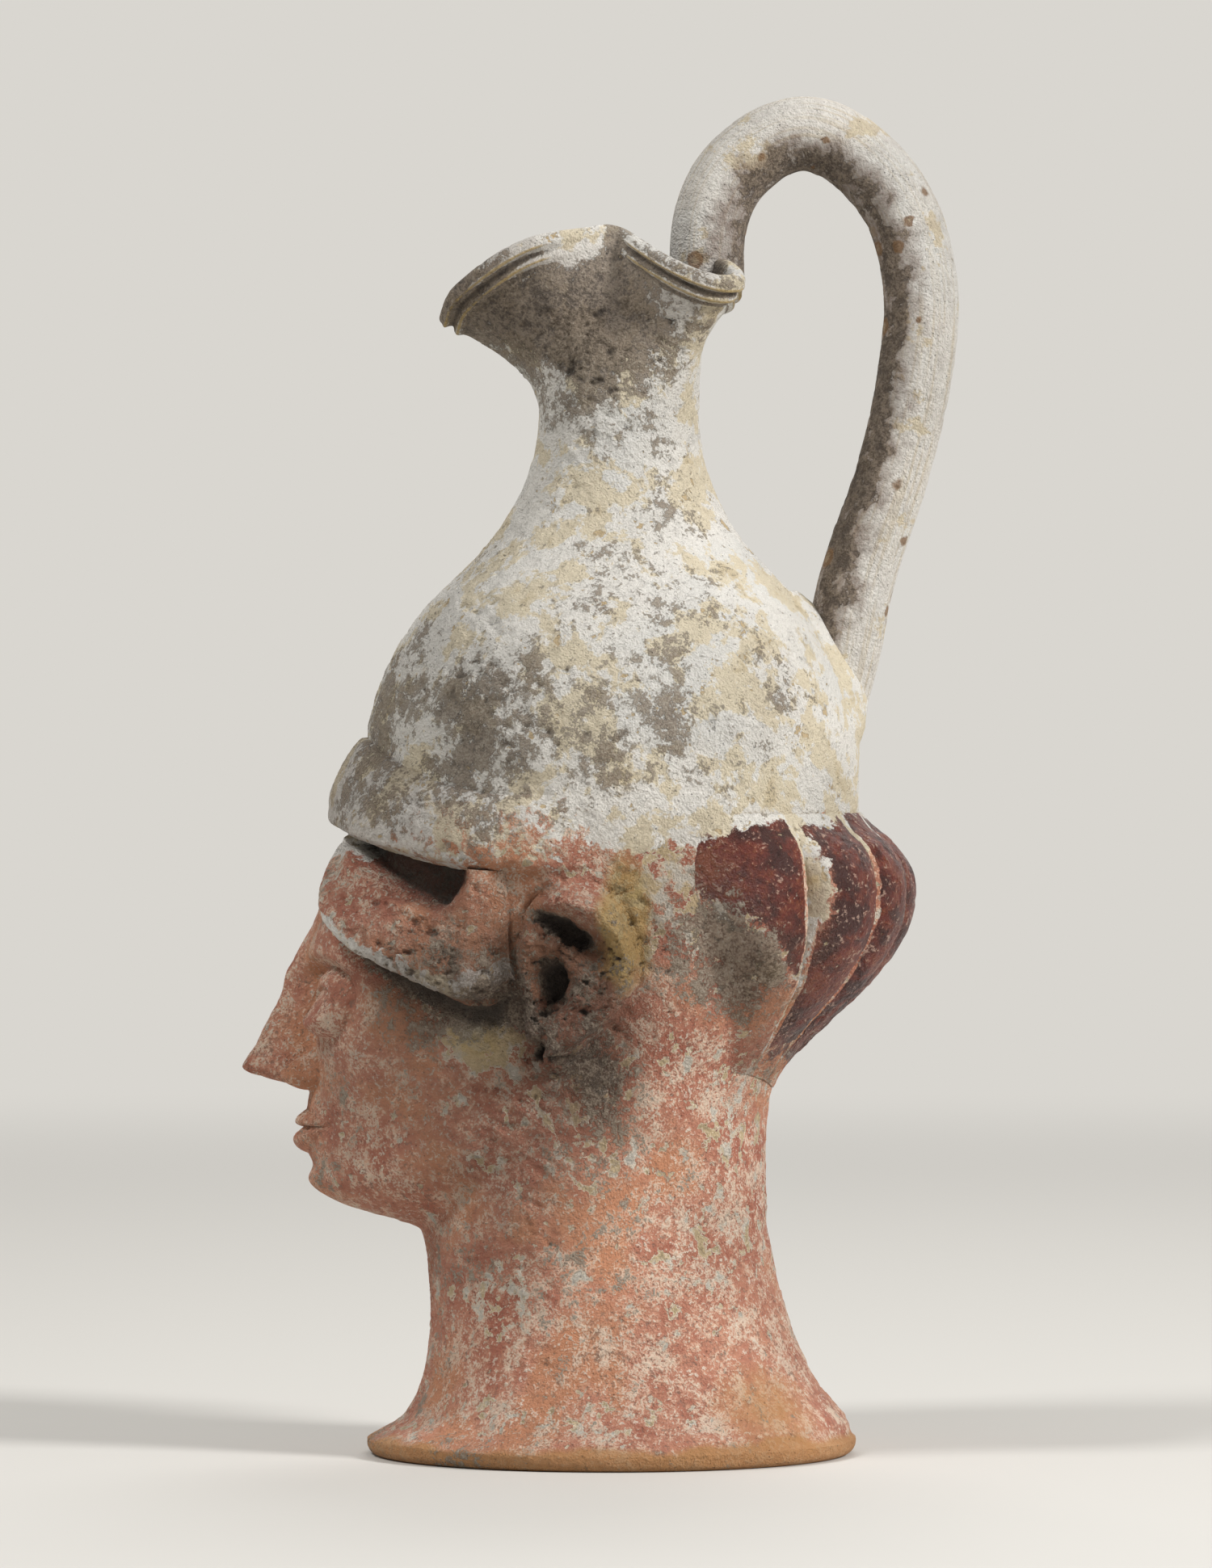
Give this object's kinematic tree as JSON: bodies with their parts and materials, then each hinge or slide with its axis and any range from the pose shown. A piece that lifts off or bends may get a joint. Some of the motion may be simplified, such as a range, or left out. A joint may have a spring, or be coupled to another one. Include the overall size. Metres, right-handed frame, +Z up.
{
  "type": "greek head vase",
  "caption": "Fired clay wine jug in the form of a woman's head on a flared foot, with a trefoil mouth and a high arched handle.",
  "frame": {"origin": "On the ground under the middle of the whole vase's bounding box.", "axes": "+Z up, the face looks along -Y, X = 0 is the mirror plane."},
  "size_m": [0.1264, 0.1774, 0.3358],
  "materials": {
    "white_slip": "flaking white clay slip, matt",
    "flesh_paint": "worn pink paint over slip, matt",
    "hair_paint": "dark red paint, burnished to a low sheen",
    "bare_clay": "bare fired clay, matt"
  },
  "bodies": {
    "root": {"foot_collar": "flesh_paint", "base_disc": "bare_clay", "face_shell": "flesh_paint", "back_shell": "flesh_paint", "shoulder_dome": "white_slip", "neck_mouth": "white_slip", "handle": "white_slip", "handle_root": "white_slip", "brow_band": "white_slip", "hair_wave_left": "flesh_paint", "hair_wave_right": "flesh_paint", "ear_left": "flesh_paint", "ear_right": "flesh_paint", "hair_lobe_1": "hair_paint", "hair_lobe_2": "hair_paint", "hair_lobe_3": "hair_paint", "hair_lobe_4": "hair_paint", "hair_lobe_5": "hair_paint", "hair_lobe_6": "hair_paint", "hair_lobe_7": "hair_paint"}
  },
  "joints": []
}
